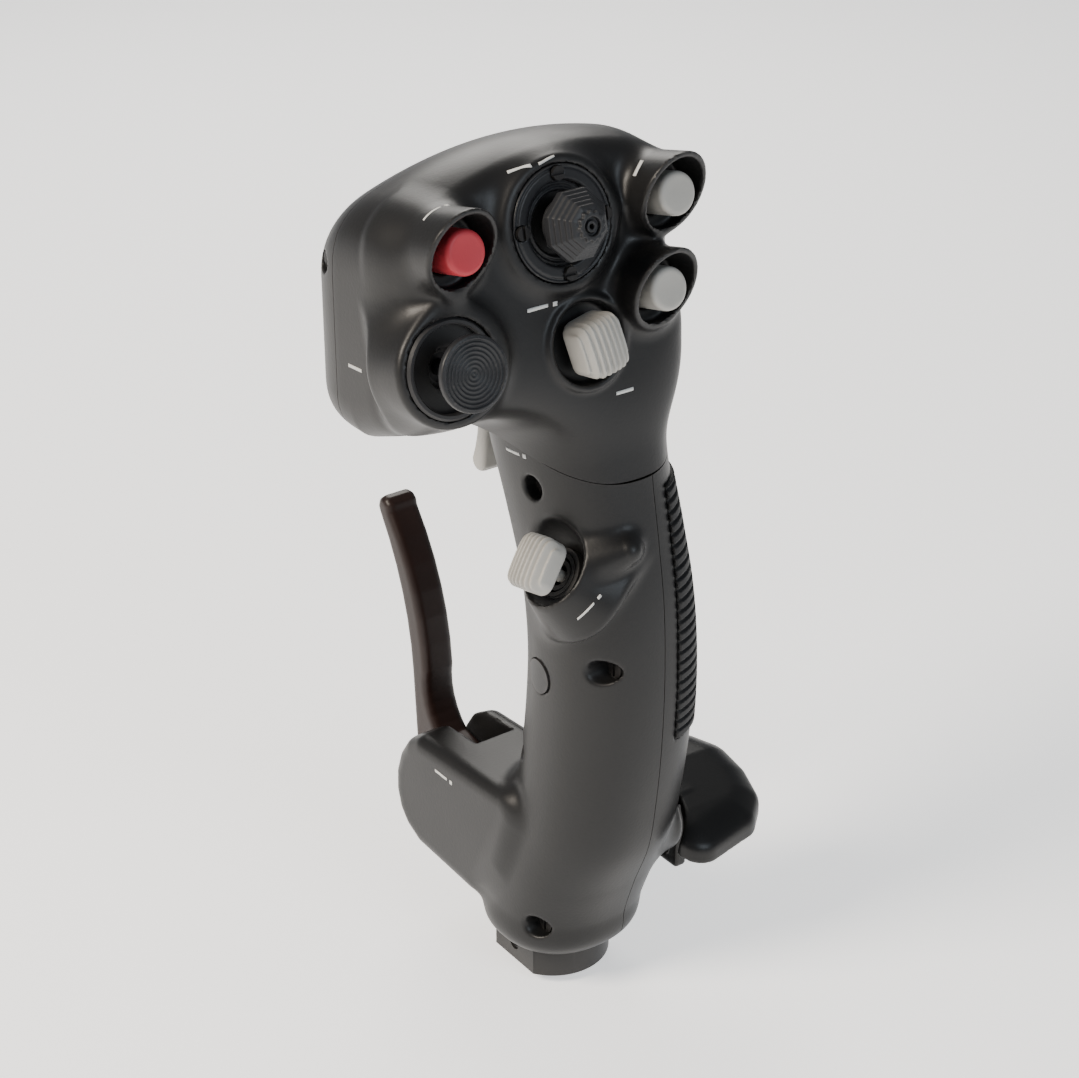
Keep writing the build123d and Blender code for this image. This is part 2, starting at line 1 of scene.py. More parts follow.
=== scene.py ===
"""Looks of a flight joystick grip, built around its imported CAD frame.

The shells and caps are signed-distance fields in millimetres, turned into meshes by a
surface-nets routine and then placed in metres. Everything sits in the CAD frame.
"""
import json
import math
import bmesh
import bpy
import numpy as np
from mathutils import Matrix, Vector


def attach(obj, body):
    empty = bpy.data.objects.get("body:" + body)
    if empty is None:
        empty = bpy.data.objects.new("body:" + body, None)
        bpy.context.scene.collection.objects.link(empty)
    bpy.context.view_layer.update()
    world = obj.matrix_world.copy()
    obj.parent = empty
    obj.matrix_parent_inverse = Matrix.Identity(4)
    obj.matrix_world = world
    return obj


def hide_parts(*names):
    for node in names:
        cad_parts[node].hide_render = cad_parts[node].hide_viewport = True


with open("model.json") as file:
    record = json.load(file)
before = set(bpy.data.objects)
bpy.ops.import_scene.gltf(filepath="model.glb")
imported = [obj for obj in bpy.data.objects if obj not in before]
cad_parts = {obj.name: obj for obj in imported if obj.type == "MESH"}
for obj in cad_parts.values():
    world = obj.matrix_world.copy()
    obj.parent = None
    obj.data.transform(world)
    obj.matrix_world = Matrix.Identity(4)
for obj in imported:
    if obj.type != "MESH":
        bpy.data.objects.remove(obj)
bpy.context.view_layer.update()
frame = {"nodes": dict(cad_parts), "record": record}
MM = 0.001
BODY = "grip"

# ---------------------------------------------------------------- dimensions shared with the frame, in mm
GRIP_SECTIONS = np.array([
    (4.0, 0.8, -0.6, 19.0, 19.0),
    (10.0, 1.2, -1.0, 19.8, 19.8),
    (13.0, 1.6, -1.3, 21.6, 21.6),
    (22.0, 2.6, -3.0, 22.4, 21.4),
    (34.0, 3.7, -7.0, 22.8, 21.2),
    (50.0, 5.3, -12.4, 22.6, 22.0),
    (68.0, 6.5, -14.6, 22.4, 22.8),
    (90.0, 7.5, -16.2, 22.2, 23.0),
    (110.0, 7.4, -16.6, 21.8, 22.9),
    (130.0, 6.8, -14.4, 21.2, 24.0),
    (148.0, 5.6, -10.2, 20.8, 25.4),
    (168.0, 3.8, -5.6, 20.8, 26.6),
    (186.0, 3.0, -3.0, 22.0, 27.5),
    (200.0, 2.0, -2.0, 23.0, 27.5),
])
GRIP_POWER = 2.25
SEAM = 0.12
PARTING_X = 8.5
COVER_Y = 11.5
SKIN = 0.7
FACE_TILT = math.radians(13.0)
FACE_POINT = np.array([0.0, -27.0, 200.0])
FACE_N = np.array([0.0, -math.cos(FACE_TILT), math.sin(FACE_TILT)])
FACE_V = np.array([0.0, math.sin(FACE_TILT), math.cos(FACE_TILT)])
FACE_U = np.array([1.0, 0.0, 0.0])
BUTTONS = {
    "red_button": (-46.5, 38.2),
    "upper_gray_button": (18.3, 39.6),
    "lower_gray_button": (12.2, 16.4),
}
MASTER_UV = (-13.0, 38.0)
MANEUVER_UV = (-8.5, 6.3)
STICK_UV = (-50.0, 9.5)
RESET_POINT = np.array([-14.1, -22.7, 139.5])
RESET_Z = np.array([-0.79, 0.07, 0.60]) / math.sqrt(0.79 ** 2 + 0.07 ** 2 + 0.60 ** 2)
RESET_X = np.array([0.60, 0.0, 0.79]) / math.hypot(0.60, 0.79)
RESET_Y = np.cross(RESET_Z, RESET_X)
RESET_APEX = (-2.0, -36.2, 149.0)
HOUSING_OUTLINE = [
    (-9, 61), (43.5, 57.2), (50, 53.2), (54.2, 47), (56.6, 40), (56.9, 33),
    (55, 26.5), (51, 21.7), (44, 18.3), (15, 16.7), (0, 34),
]
HOUSING_ROUND = 6.5
GRIP_SCREWS = [(-12.0, 162.0, -11.9), (-33.0, 112.8, -3.4), (-0.5, 73.5, -7.9), (-14.7, 21.5, -12.9)]
PLUG_YZ = (-12.5, 104.0)
REST_SCREW = (-15.0, 43.0)
HEAD_SCREW_YZ = (17.5, 226.0)
BRAKE_PIVOT_YZ = (24.0, 38.0)
TRIGGER_PIVOT_YZ = (26.5, 188.0)
SHELL_CELL = 0.62


# ---------------------------------------------------------------- distance-field tools
def smin(a, b, k):
    h = np.maximum(k - np.abs(a - b), 0.0) / k
    return np.minimum(a, b) - h * h * k * 0.25


def smax(a, b, k):
    return -smin(-a, -b, k)


def hermite(z, column):
    """Smooth interpolation of one column of the grip's sections at height z."""
    zs, vs = GRIP_SECTIONS[:, 0], GRIP_SECTIONS[:, column]
    slope = np.gradient(vs, zs)
    i = np.clip(np.searchsorted(zs, z) - 1, 0, len(zs) - 2)
    span = zs[i + 1] - zs[i]
    t = np.clip((z - zs[i]) / span, 0, 1)
    a = 2 * t ** 3 - 3 * t ** 2 + 1
    b = t ** 3 - 2 * t ** 2 + t
    return a * vs[i] + b * span * slope[i] + (1 - a) * vs[i + 1] + (t ** 3 - t ** 2) * span * slope[i + 1]


def polygon(p, q, points):
    """Signed distance in a plane to a closed polygon."""
    best = np.full(p.shape, 1e9)
    inside = np.zeros(p.shape, bool)
    for (x0, y0), (x1, y1) in zip(points, points[1:] + points[:1]):
        ex, ey = x1 - x0, y1 - y0
        wx, wy = p - x0, q - y0
        t = np.clip((wx * ex + wy * ey) / (ex * ex + ey * ey), 0, 1)
        best = np.minimum(best, (wx - ex * t) ** 2 + (wy - ey * t) ** 2)
        crosses = ((y0 > q) != (y1 > q)) & (p < ex * (q - y0) / (ey if ey else 1e-9) + x0)
        inside ^= crosses
    return np.where(inside, -1.0, 1.0) * np.sqrt(best)


def slab(v, low, high):
    return np.abs(v - (low + high) / 2) - (high - low) / 2


def local(p, origin, x, y, z):
    d = p - np.asarray(origin)
    return d @ x, d @ y, d @ z


def on_face(p, uv, h=0.0):
    origin = FACE_POINT + uv[0] * FACE_U + uv[1] * FACE_V + h * FACE_N
    return local(p, origin, FACE_U, FACE_V, FACE_N)


def rod_x(p, y, z, radius, low, high, k=0.5):
    d = np.hypot(p[..., 1] - y, p[..., 2] - z) - radius
    return smax(d, slab(p[..., 0], low, high), k)


# ---------------------------------------------------------------- forms
def grip(p):
    """Lofted grip without its details."""
    x, y, z = p[..., 0], p[..., 1], p[..., 2]
    a, b = hermite(z, 3), hermite(z, 4)
    u, v = np.abs(x - hermite(z, 1)) / a, np.abs(y - hermite(z, 2)) / b
    g = (u ** GRIP_POWER + v ** GRIP_POWER + 1e-9) ** (1 / GRIP_POWER)
    return (g - 1.0) * np.minimum(a, b)


def head_core(p):
    """Rounded block of the head: plan outline, dome, floor and its two flanks."""
    x, y, z = p[..., 0], p[..., 1], p[..., 2]
    qx, qy = np.abs(x + 17) - (44 - 25), np.abs(y - 3) - (31 - 25)
    plan = np.hypot(np.maximum(qx, 0), np.maximum(qy, 0)) + np.minimum(np.maximum(qx, qy), 0) - 25
    dome = z - (255.0 - 0.0050 * (x + 8) ** 2 - 0.0135 * (y + 4) ** 2)
    floor = np.maximum(180.0, 193 - (y + 28.6) * 0.387) - z
    side = (x - 27) * 0.96 + np.maximum(212 - z, 0) * 0.22
    left = (-62.5 - x) * 0.98
    core = smax(plan, dome * 0.93, 12)
    core = smax(core, side, 8)
    core = smax(core, left, 5)
    core = smax(core, floor * 0.94, 12)
    return core


def face_plane(p):
    return on_face(p, (0, 0))[2]


def hood(p, uv):
    """Flared hood over a push button, with a lip that slopes up to its top."""
    u, v, h = on_face(p, uv)
    r = np.hypot(u, v)
    lip = h - (8.6 + v * math.tan(math.radians(29)) - 0.10 * u)
    flare = 10.8 + 0.05 * np.maximum(-h - 2, 0)
    return smax(smax(r - flare, lip * 0.87, 1.0), -14 - h, 2)


def head_outside(p):
    """Head and upper neck: rounded core, flared neck, hoods and bosses, with all pockets cut."""
    neck = smax(grip(p), p[..., 2] - 208, 12)
    body = smin(head_core(p), neck, 20)
    body = smax(body, face_plane(p), 5)
    for uv in BUTTONS.values():
        body = smin(body, hood(p, uv), 4.5)
    u, v, h = on_face(p, MASTER_UV)
    master_r = np.hypot(u, v)
    body = smin(body, smax(smax(master_r - 16.5, h - 1.9, 1.5), -12 - h, 2), 6)
    u, v, h2 = on_face(p, STICK_UV)
    stick_r = np.hypot(u, v)
    body = smin(body, smax(smax(stick_r - 15, h2 - 1.0, 2.2), -15 - h2, 2), 7)
    u, v, h3 = on_face(p, MANEUVER_UV)
    pocket_r = np.hypot(u, v)
    rim = np.hypot(pocket_r - 11.6, h3 - 0.2) - 0.9
    body = smin(body, rim, 1.5)
    body = smax(body, -smax(pocket_r - 10.5, -3.0 - h3, 1.5), 1.2)
    body = smax(body, -smax(master_r - 15.0, 0.0 - h, 0.3), 0.4)
    body = smax(body, -smax(master_r - 4.2, -4.0 - h, 0.3), 0.4)
    body = smax(body, -smax(stick_r - 12.95, -0.6 - h2, 0.3), 0.4)
    body = smax(body, -smax(stick_r - 5.4, -5.0 - h2, 0.3), 0.4)
    body = smax(body, -smax(pocket_r - 4.2, -7.0 - h3, 0.3), 0.4)
    for uv in BUTTONS.values():
        u, v, h = on_face(p, uv)
        r = np.hypot(u, v)
        body = smax(body, -smax(r - 9.3, -1.0 - h, 1.0), 0.5)
        body = smax(body, -smax(r - 6.0, -6.6 - h, 0.3), 0.4)
    for low, high in ((-80, -56.9), (22.4, 40)):
        body = smax(body, -rod_x(p, *HEAD_SCREW_YZ, 2.75, low, high), 0.4)
    slot = np.maximum(np.maximum(slab(p[..., 0], -6.5, 8.5), slab(p[..., 1], 18.5, 31)), p[..., 2] - 187)
    body = smax(body, -np.where(p[..., 1] > COVER_Y, slot, 9.0), 0.4)
    return body


def housing(p):
    """Flat-sided casing of the brake lever's pivot."""
    d = polygon(p[..., 1], p[..., 2], HOUSING_INNER) - HOUSING_ROUND
    return smax(d, slab(p[..., 0], -19.5, 12.0), 5.0)


def grip_outside(p):
    """Both grip shells as one form, before it is split at the parting plane."""
    body = smax(grip(p), 10.0 - p[..., 2], 2.0)
    body = smin(body, housing(p), 6)
    y, z = REST_SCREW
    body = smin(body, rod_x(p, y, z, 10.5, 10, 29.4, 3.0), 4)
    rx, ry, rz = local(p, RESET_POINT, RESET_X, RESET_Y, RESET_Z)
    r = np.hypot(rx, ry)
    cone = smax((r - (10.4 + np.maximum(3.9 - rz, 0) * 0.45)) * 0.9, rz - 3.9, 1.5)
    cone = smax(cone, -10 - rz, 3)
    apex = capsule(p, RESET_POINT + 0.5 * RESET_Z, RESET_APEX, 9.6, 3.2)
    body = smin(smin(cone, apex, 2), body, 5)
    body = smax(body, -smax(r - 9.5, 2.6 - rz, 1.2), 0.8)
    dish_centre = RESET_POINT + 8.5 * RESET_Z + 2.0 * RESET_X
    body = smax(body, -(np.linalg.norm(p - dish_centre, axis=-1) - 11.0), 1.5)
    body = smax(body, -smax(r - 4.6, -3.8 - rz, 0.3), 0.4)
    body = smax(body, -smax(r - 7.4, slab(rz, -3.8, 1.1), 0.3), 0.4)
    for y, z, depth in GRIP_SCREWS:
        body = smax(body, -rod_x(p, y, z, 3.4, -60, depth), 1.1)
    body = smax(body, -rod_x(p, *PLUG_YZ, 5.15, -60, -10.5), 0.4)
    x, y, z = p[..., 0], p[..., 1], p[..., 2]
    slot = np.maximum(slab(x, -7.0, 6.2), np.minimum(np.maximum(29 - y, 46 - z), np.maximum(46 - y, 31 - z)))
    body = smax(body, -slot, 0.6)
    notch = np.maximum(np.maximum(slab(x, -6.6, 8.6), 18.0 - y), 157 - z)
    body = smax(body, -notch, 0.6)
    pad = np.maximum(np.maximum(13.5 - x, y + 14.0), slab(z, 86, 162))
    return smax(body, -np.maximum(pad, -0.8 - grip(p)), 0.4)


def capsule(p, a, b, r0, r1):
    a, b = np.asarray(a, float), np.asarray(b, float)
    t = np.clip((p - a) @ (b - a) / ((b - a) @ (b - a)), 0, 1)
    return np.linalg.norm(p - a - t[..., None] * (b - a), axis=-1) - (r0 + (r1 - r0) * t)


def shrink(points, amount):
    """Moves each corner of a convex outline inwards, so rounding it returns the same size."""
    centre = np.mean(points, axis=0)
    moved = []
    for k, point in enumerate(points):
        before, after = np.array(points[k - 1]), np.array(points[(k + 1) % len(points)])
        e0, e1 = np.array(point) - before, after - np.array(point)
        n0 = np.array([-e0[1], e0[0]]) / np.linalg.norm(e0)
        n1 = np.array([-e1[1], e1[0]]) / np.linalg.norm(e1)
        if n0 @ (centre - before) < 0:
            n0, n1 = -n0, -n1
        inward = np.linalg.solve(np.array([n0, n1]), np.array([amount, amount]))
        moved.append(tuple(np.array(point) + inward))
    return moved


HOUSING_INNER = shrink(HOUSING_OUTLINE, HOUSING_ROUND)


# ---------------------------------------------------------------- meshing
def surface_net(field, low, high, cell):
    """Quad mesh of field = 0 inside a box, with each vertex moved onto the surface."""
    axes = [np.arange(a, b + cell, cell) for a, b in zip(low, high)]
    n = [len(axis) for axis in axes]
    grid = np.stack(np.meshgrid(*axes, indexing="ij"), -1)
    values = np.concatenate([field(grid[i:i + 8]) for i in range(0, n[0], 8)], 0)
    sign = values < 0
    corner = [(i, j, k) for i in (0, 1) for j in (0, 1) for k in (0, 1)]
    count = np.zeros([m - 1 for m in n], int)
    for i, j, k in corner:
        count += sign[i:n[0] - 1 + i, j:n[1] - 1 + j, k:n[2] - 1 + k]
    active = (count > 0) & (count < 8)
    index = np.full(active.shape, -1)
    index[active] = np.arange(active.sum())
    cells = np.argwhere(active)
    total = np.zeros((len(cells), 3))
    hits = np.zeros(len(cells))
    for a in range(8):
        for axis in range(3):
            ca = np.array(corner[a])
            if ca[axis]:
                continue
            cb = ca.copy()
            cb[axis] = 1
            va = values[tuple((cells + ca).T)]
            vb = values[tuple((cells + cb).T)]
            cut = (va < 0) != (vb < 0)
            t = np.where(cut, va / np.where(cut, va - vb, 1), 0)
            total += np.where(cut[:, None], ca + t[:, None] * (cb - ca), 0)
            hits += cut
    verts = np.array(low) + (cells + total / hits[:, None]) * cell
    faces = []
    for axis in range(3):
        b, c = (axis + 1) % 3, (axis + 2) % 3
        lo = [slice(1, -1)] * 3
        lo[axis] = slice(0, -1)
        hi = list(lo)
        hi[axis] = slice(1, None)
        edge = np.argwhere(sign[tuple(lo)] != sign[tuple(hi)])
        edge += np.array([0 if k == axis else 1 for k in range(3)])
        step_b, step_c = np.eye(3, dtype=int)[b], np.eye(3, dtype=int)[c]
        ring = [index[tuple((edge - off).T)] for off in (0, step_b, step_b + step_c, step_c)]
        quad = np.stack(ring, 1)
        flip = sign[tuple(edge.T)]
        quad[~flip] = quad[~flip][:, ::-1]
        faces.append(quad)
    faces = np.concatenate(faces)
    return relax(field, verts, faces[(faces >= 0).all(1)], cell)


def relax(field, verts, faces, cell):
    """Evens the quads out and moves their corners back onto the surface."""
    eps = 0.05 * cell
    for step in range(3):
        if step < 2:
            total = np.zeros_like(verts)
            hits = np.zeros(len(verts))
            for k in range(4):
                np.add.at(total, faces[:, k], verts[faces[:, (k + 1) % 4]] + verts[faces[:, k - 1]])
                np.add.at(hits, faces[:, k], 2)
            verts = 0.6 * verts + 0.4 * total / np.maximum(hits, 1)[:, None]
        value = field(verts)
        grad = np.stack([field(verts + eps * np.eye(3)[k]) - field(verts - eps * np.eye(3)[k])
                         for k in range(3)], -1) / (2 * eps)
        size = np.maximum((grad ** 2).sum(-1), 0.25)
        move = -(value / size)[:, None] * grad
        length = np.maximum(np.linalg.norm(move, axis=1, keepdims=True), 1e-9)
        verts = verts + move * np.minimum(1, 0.5 * cell / length)
    return verts, faces


def to_object(name, verts, faces):
    mesh = bpy.data.meshes.new(name)
    mesh.from_pydata((np.asarray(verts) * MM).tolist(), [], np.asarray(faces).tolist())
    mesh.validate()
    mesh.update()
    obj = bpy.data.objects.new(name, mesh)
    bpy.context.scene.collection.objects.link(obj)
    return obj


def finish_piece(obj, material, body, nodes=(), slot=None):
    """Gives a piece its material and its body, and hides the CAD nodes that it stands for."""
    obj.data.materials.clear()
    obj.data.materials.append(material)
    for face in obj.data.polygons:
        face.use_smooth = True
    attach(obj, body)
    if nodes:
        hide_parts(*nodes)
    return obj


def solid(name, field, low, high, cell, material, body, nodes=(), slot=None):
    verts, faces = surface_net(field, low, high, cell)
    return finish_piece(to_object(name, verts, faces), material, body, nodes, slot)


def keep_side(mesh, point, normal):
    """Cuts a bmesh by a plane and keeps the part that the normal points away from."""
    geometry = mesh.verts[:] + mesh.edges[:] + mesh.faces[:]
    bmesh.ops.bisect_plane(mesh, geom=geometry, plane_co=Vector(point) * MM, plane_no=Vector(normal),
                           dist=1e-7, clear_outer=True)


def shell(name, verts, faces, cuts, material, node, slot="shell_plastic"):
    """One moulded shell: the outer form cut at its seams and given a wall with a rim."""
    obj = to_object(name, verts, faces)
    mesh = bmesh.new()
    mesh.from_mesh(obj.data)
    for point, normal in cuts:
        keep_side(mesh, point, normal)
    mesh.to_mesh(obj.data)
    mesh.free()
    wall = obj.modifiers.new("wall", "SOLIDIFY")
    wall.thickness = SKIN * MM
    wall.offset = -1
    wall.use_rim = True
    apply_modifiers(obj)
    finish_piece(obj, material, BODY, (node,), slot)
    sharpen(obj)
    return obj


def apply_modifiers(obj):
    bpy.context.view_layer.update()
    graph = bpy.context.evaluated_depsgraph_get()
    mesh = bpy.data.meshes.new_from_object(obj.evaluated_get(graph))
    obj.modifiers.clear()
    obj.data = mesh


def sharpen(obj, degrees=50):
    """Marks the steep edges sharp, so the seams keep their corners."""
    mesh = bmesh.new()
    mesh.from_mesh(obj.data)
    for edge in mesh.edges:
        if len(edge.link_faces) == 2 and edge.calc_face_angle(0) > math.radians(degrees):
            edge.smooth = False
    mesh.to_mesh(obj.data)
    mesh.free()


# ---------------------------------------------------------------- materials
def plastic(name, color, rough, grain=0.12, scale=900.0, warm=None, metallic=0.0, edge_highlight=0.03):
    """Moulded surface: fine grain bump, cloudy roughness, and a painted highlight that lightens the convex
    edges.
    """
    mat = bpy.data.materials.new(name)
    mat.use_nodes = True
    nodes, links = mat.node_tree.nodes, mat.node_tree.links
    shader = nodes["Principled BSDF"]
    shader.inputs["Metallic"].default_value = metallic
    shader.inputs["Specular IOR Level"].default_value = 0.30
    coords = nodes.new("ShaderNodeTexCoord")
    cloud = nodes.new("ShaderNodeTexNoise")
    cloud.inputs["Scale"].default_value = 38.0
    cloud.inputs["Detail"].default_value = 5.0
    links.new(coords.outputs["Object"], cloud.inputs["Vector"])
    fine = nodes.new("ShaderNodeTexNoise")
    fine.inputs["Scale"].default_value = scale
    fine.inputs["Detail"].default_value = 3.0
    links.new(coords.outputs["Object"], fine.inputs["Vector"])
    tint = nodes.new("ShaderNodeValToRGB")
    tint.color_ramp.elements[0].position = 0.32
    tint.color_ramp.elements[1].position = 0.70
    tint.color_ramp.elements[0].color = (*[c * 0.86 for c in color], 1)
    tint.color_ramp.elements[1].color = (*(warm or [c * 1.14 for c in color]), 1)
    links.new(cloud.outputs["Fac"], tint.inputs["Fac"])
    # Painted highlight: convex edges, found by pointiness, are mixed towards a pale warm grey.
    geometry = nodes.new("ShaderNodeNewGeometry")
    edge = nodes.new("ShaderNodeMapRange")
    edge.inputs["From Min"].default_value = 0.52
    edge.inputs["From Max"].default_value = 0.64
    links.new(geometry.outputs["Pointiness"], edge.inputs["Value"])
    amount = nodes.new("ShaderNodeMath")
    amount.operation = "MULTIPLY"
    amount.inputs[1].default_value = edge_highlight
    links.new(edge.outputs["Result"], amount.inputs[0])
    edge_highlight_mix = nodes.new("ShaderNodeMixRGB")
    edge_highlight_mix.inputs["Color2"].default_value = (0.55, 0.50, 0.45, 1)
    links.new(amount.outputs["Value"], edge_highlight_mix.inputs["Fac"])
    links.new(tint.outputs["Color"], edge_highlight_mix.inputs["Color1"])
    links.new(edge_highlight_mix.outputs["Color"], shader.inputs["Base Color"])
    shine = nodes.new("ShaderNodeMapRange")
    shine.inputs["To Min"].default_value = rough - 0.05
    shine.inputs["To Max"].default_value = rough + 0.07
    links.new(cloud.outputs["Fac"], shine.inputs["Value"])
    links.new(shine.outputs["Result"], shader.inputs["Roughness"])
    bump = nodes.new("ShaderNodeBump")
    bump.inputs["Strength"].default_value = grain
    bump.inputs["Distance"].default_value = 0.0002
    links.new(fine.outputs["Fac"], bump.inputs["Height"])
    links.new(bump.outputs["Normal"], shader.inputs["Normal"])
    return mat


SHELL = plastic("moulded_shell", (0.0075, 0.0074, 0.0076), 0.40, 0.16, 1100)
RUBBER = plastic("pad_rubber", (0.007, 0.007, 0.0075), 0.62, 0.3, 700)
COLLAR = plastic("collar_black", (0.007, 0.007, 0.0075), 0.42, 0.12, 1400)
LEVER = plastic("lever_brown", (0.013, 0.0055, 0.004), 0.42, 0.12, 1200, warm=(0.017, 0.007, 0.005))
REST = plastic("rest_black", (0.004, 0.004, 0.004), 0.38, 0.10, 900)
# The red cap gets a stronger painted highlight on its edges.
RED = plastic("button_red", (0.36, 0.030, 0.040), 0.42, 0.14, 1300, edge_highlight=0.05)
LIGHT = plastic("cap_light", (0.34, 0.33, 0.305), 0.42, 0.12, 1300)
DARK = plastic("cap_dark", (0.014, 0.0145, 0.016), 0.40, 0.14, 1300)
RIM = plastic("ring_dark", (0.010, 0.0105, 0.012), 0.36, 0.12, 1500)
BLACK_SCREW = plastic("screw_black", (0.015, 0.015, 0.016), 0.34, 0.05, 1500, metallic=0.6)
STEEL = plastic("steel", (0.42, 0.42, 0.43), 0.33, 0.08, 1500, metallic=1.0)
BOARD = plastic("board_green", (0.012, 0.09, 0.04), 0.40, 0.10, 800)
BRASS = plastic("contact_brass", (0.70, 0.48, 0.18), 0.30, 0.05, 1500, metallic=1.0)
INNER = plastic("inner_plastic", (0.022, 0.022, 0.022), 0.5, 0.10, 900)
# The legend ink gets no painted edge highlight.
INK = plastic("legend_ink", (0.55, 0.55, 0.53), 0.55, 0.10, 1500, edge_highlight=0.0)

SLOT_MATERIALS = {
    "shell_plastic": SHELL, "steel": STEEL, "spring_steel": STEEL, "circuit_board": BOARD,
    "inner_plastic": INNER, "contact_brass": BRASS, "wire_jacket": RUBBER, "rubber_pad": RUBBER,
    "collar_metal": COLLAR, "lever_finish": LEVER, "rest_plastic": REST, "black_screw": BLACK_SCREW,
    "red_cap": RED, "light_cap": LIGHT, "dark_cap": DARK,
}
slots = {part["node"]: part["material_slot"] for part in frame["record"]["subparts"]}
DARK_SCREWS = ("grip_screws", "head_screws", "collar_set_screw")
for node, obj in frame["nodes"].items():
    for index in range(len(obj.material_slots)):
        dark = node in DARK_SCREWS
        obj.material_slots[index].material = BLACK_SCREW if dark else SLOT_MATERIALS[slots[node]]


# ---------------------------------------------------------------- shells
SEAM_POINT = np.array([0.0, -31.0, 167.0])
SEAM_N = np.array([0.0, -0.265, 0.964])


def build_head():
    verts, faces = surface_net(head_outside, (-68, -46, 160), (32, 38, 258), SHELL_CELL)
    bottom = (SEAM_POINT + SEAM * SEAM_N, -SEAM_N)
    shell("head_face_shell_skin", verts, faces, [bottom, ((0, COVER_Y - SEAM, 0), (0, 1, 0))],
          SHELL, "head_face_shell")
    shell("head_front_cover_skin", verts, faces, [bottom, ((0, COVER_Y + SEAM, 0), (0, -1, 0))],
          SHELL, "head_front_cover")


def build_grip():
    verts, faces = surface_net(grip_outside, (-30, -44, 8), (33, 60, 186), SHELL_CELL)
    top = (SEAM_POINT - SEAM * SEAM_N, SEAM_N)
    shell("grip_left_shell_skin", verts, faces, [top, ((PARTING_X - SEAM, 0, 0), (1, 0, 0))],
          SHELL, "grip_left_shell")
    shell("grip_right_shell_skin", verts, faces, [top, ((PARTING_X + SEAM, 0, 0), (-1, 0, 0))],
          SHELL, "grip_right_shell")


def pad_field(p):
    """Rubber pad on the rear of the grip, with teeth across it."""
    x, y, z = p[..., 0], p[..., 1], p[..., 2]
    skin = grip(p)
    teeth = 0.9 - 0.75 * (np.abs(((z - 88) / 3.1) % 1 - 0.5) < 0.17)
    body = np.maximum(skin - teeth, -0.7 - skin)
    edge = np.maximum(np.maximum(13.6 - x, y + 14.1), slab(z, 86.1, 161.9))
    return smax(body, edge, 0.5)


# ---------------------------------------------------------------- controls
def centre_box(origin, reach):
    origin = np.asarray(origin)
    return tuple(origin - reach), tuple(origin + reach)


def face_point(uv, h):
    return FACE_POINT + uv[0] * FACE_U + uv[1] * FACE_V + h * FACE_N


def button_field(uv):
    """Round cap with a slightly hollow top."""
    def field(p):
        u, v, h = on_face(p, uv)
        r = np.hypot(u, v)
        top = h - (9.9 - 0.25 * np.clip(1 - (r / 4.4) ** 2, 0, 1))
        body = smax(r - 5.7, top, 1.5)
        return smax(body, -4.3 - h, 0.5)
    return field


def octagon(u, v):
    a, b = np.abs(u), np.abs(v)
    return np.maximum(np.maximum(a, b), (a + b) * math.sqrt(0.5))


def stepped_field(p):
    """Octagonal stepped cap with a fluted crown, on its boot and stem."""
    u, v, h = on_face(p, MASTER_UV, -3.8)
    r = octagon(u, v)
    level = np.clip((h - 12.4) / 1.15, 0, 4.999)
    step = np.floor(level)
    ease = np.clip((level - step - 0.55) / 0.45, 0, 1)
    width = 8.7 - 0.85 * (step + ease)
    body = smax(r - width, slab(h, 10.8, 18.2), 0.5)
    angle = np.arctan2(v, u)
    radius = np.hypot(u, v)
    crown = smax(radius - (3.7 + 0.3 * np.cos(12 * angle)), slab(h, 17.4, 19.2), 0.4)
    body = smin(body, crown, 0.5)
    body = smax(body, -np.maximum(radius - 2.4, 17.9 - h), 0.3)
    body = smin(body, np.maximum(radius - 1.5, slab(h, 16.5, 18.8)), 0.3)
    body = smax(body, -np.maximum(radius - 0.7, 16.2 - h), 0.2)
    boot = smax(radius - np.clip(6.6 - 0.35 * (h - 6.4), 4.0, 6.6), slab(h, 6.4, 11.5), 0.6)
    stem = smax(radius - 1.7, slab(h, -1.0, 7.0), 0.4)
    return np.minimum(smin(body, boot, 0.8), stem)


def ribbed_field(origin, x, y, z, turn, height, reach):
    """Barrel-topped cap with rounded ribs across it."""
    c, s = math.cos(turn), math.sin(turn)

    def field(p):
        a, b, h = local(p, origin, x, y, z)
        u, v = c * a + s * b, -s * a + c * b
        q = np.hypot(np.maximum(np.abs(u) - 2.9, 0), np.maximum(np.abs(v) - 3.9, 0)) - 3.5
        ridge = 0.42 * np.cos(2 * math.pi * u / 1.62)
        crown = h - (height - 0.036 * u ** 2 - 0.010 * v ** 2 + ridge)
        side = q - 0.25 * np.cos(2 * math.pi * u / 1.62) * np.clip((h - 8) / 4, 0, 1)
        body = smax(side, crown * 0.75, 2.2)
        body = smax(body, reach - h, 0.8)
        stem = smax(np.hypot(a, b) - 1.7, slab(h, -1.0, reach + 1), 0.4)
        return np.minimum(body, stem)
    return field


def disc_field(p):
    """Hollowed thumb disc with ring ridges, on a tapered cup and a stem."""
    u, v, h = on_face(p, STICK_UV, -5.5)
    r = np.hypot(u, v)
    ridge = 0.32 * np.cos(2 * math.pi * r / 1.08) * (r < 9.0)
    top = h - (17.2 - 1.1 * np.clip(1 - (r / 9.7) ** 2, 0, 1) + ridge)
    disc = smax(smax(r - 9.65, top * 0.7, 0.7), 15.0 - h, 0.8)
    cup = smax(smax(r - np.clip(4.2 + (h - 7) * 0.42, 4.2, 8), slab(h, 7.0, 16), 0.5), 7.0 - h, 0.5)
    stem = smax(r - 2.1, slab(h, -1.5, 8), 0.4)
    return np.minimum(smin(disc, cup, 1.5), stem)


def head_screw_field(p):
    """Slotted heads of the two head screws, sunk below the skin."""
    y = HEAD_SCREW_YZ[0]
    body = np.minimum(rod_x(p, *HEAD_SCREW_YZ, 2.6, -57.6, -53), rod_x(p, *HEAD_SCREW_YZ, 2.6, 19, 23.1))
    return smax(body, -np.maximum(slab(p[..., 1], y - 0.4, y + 0.4), -slab(p[..., 0], -57.0, 22.5)), 0.1)


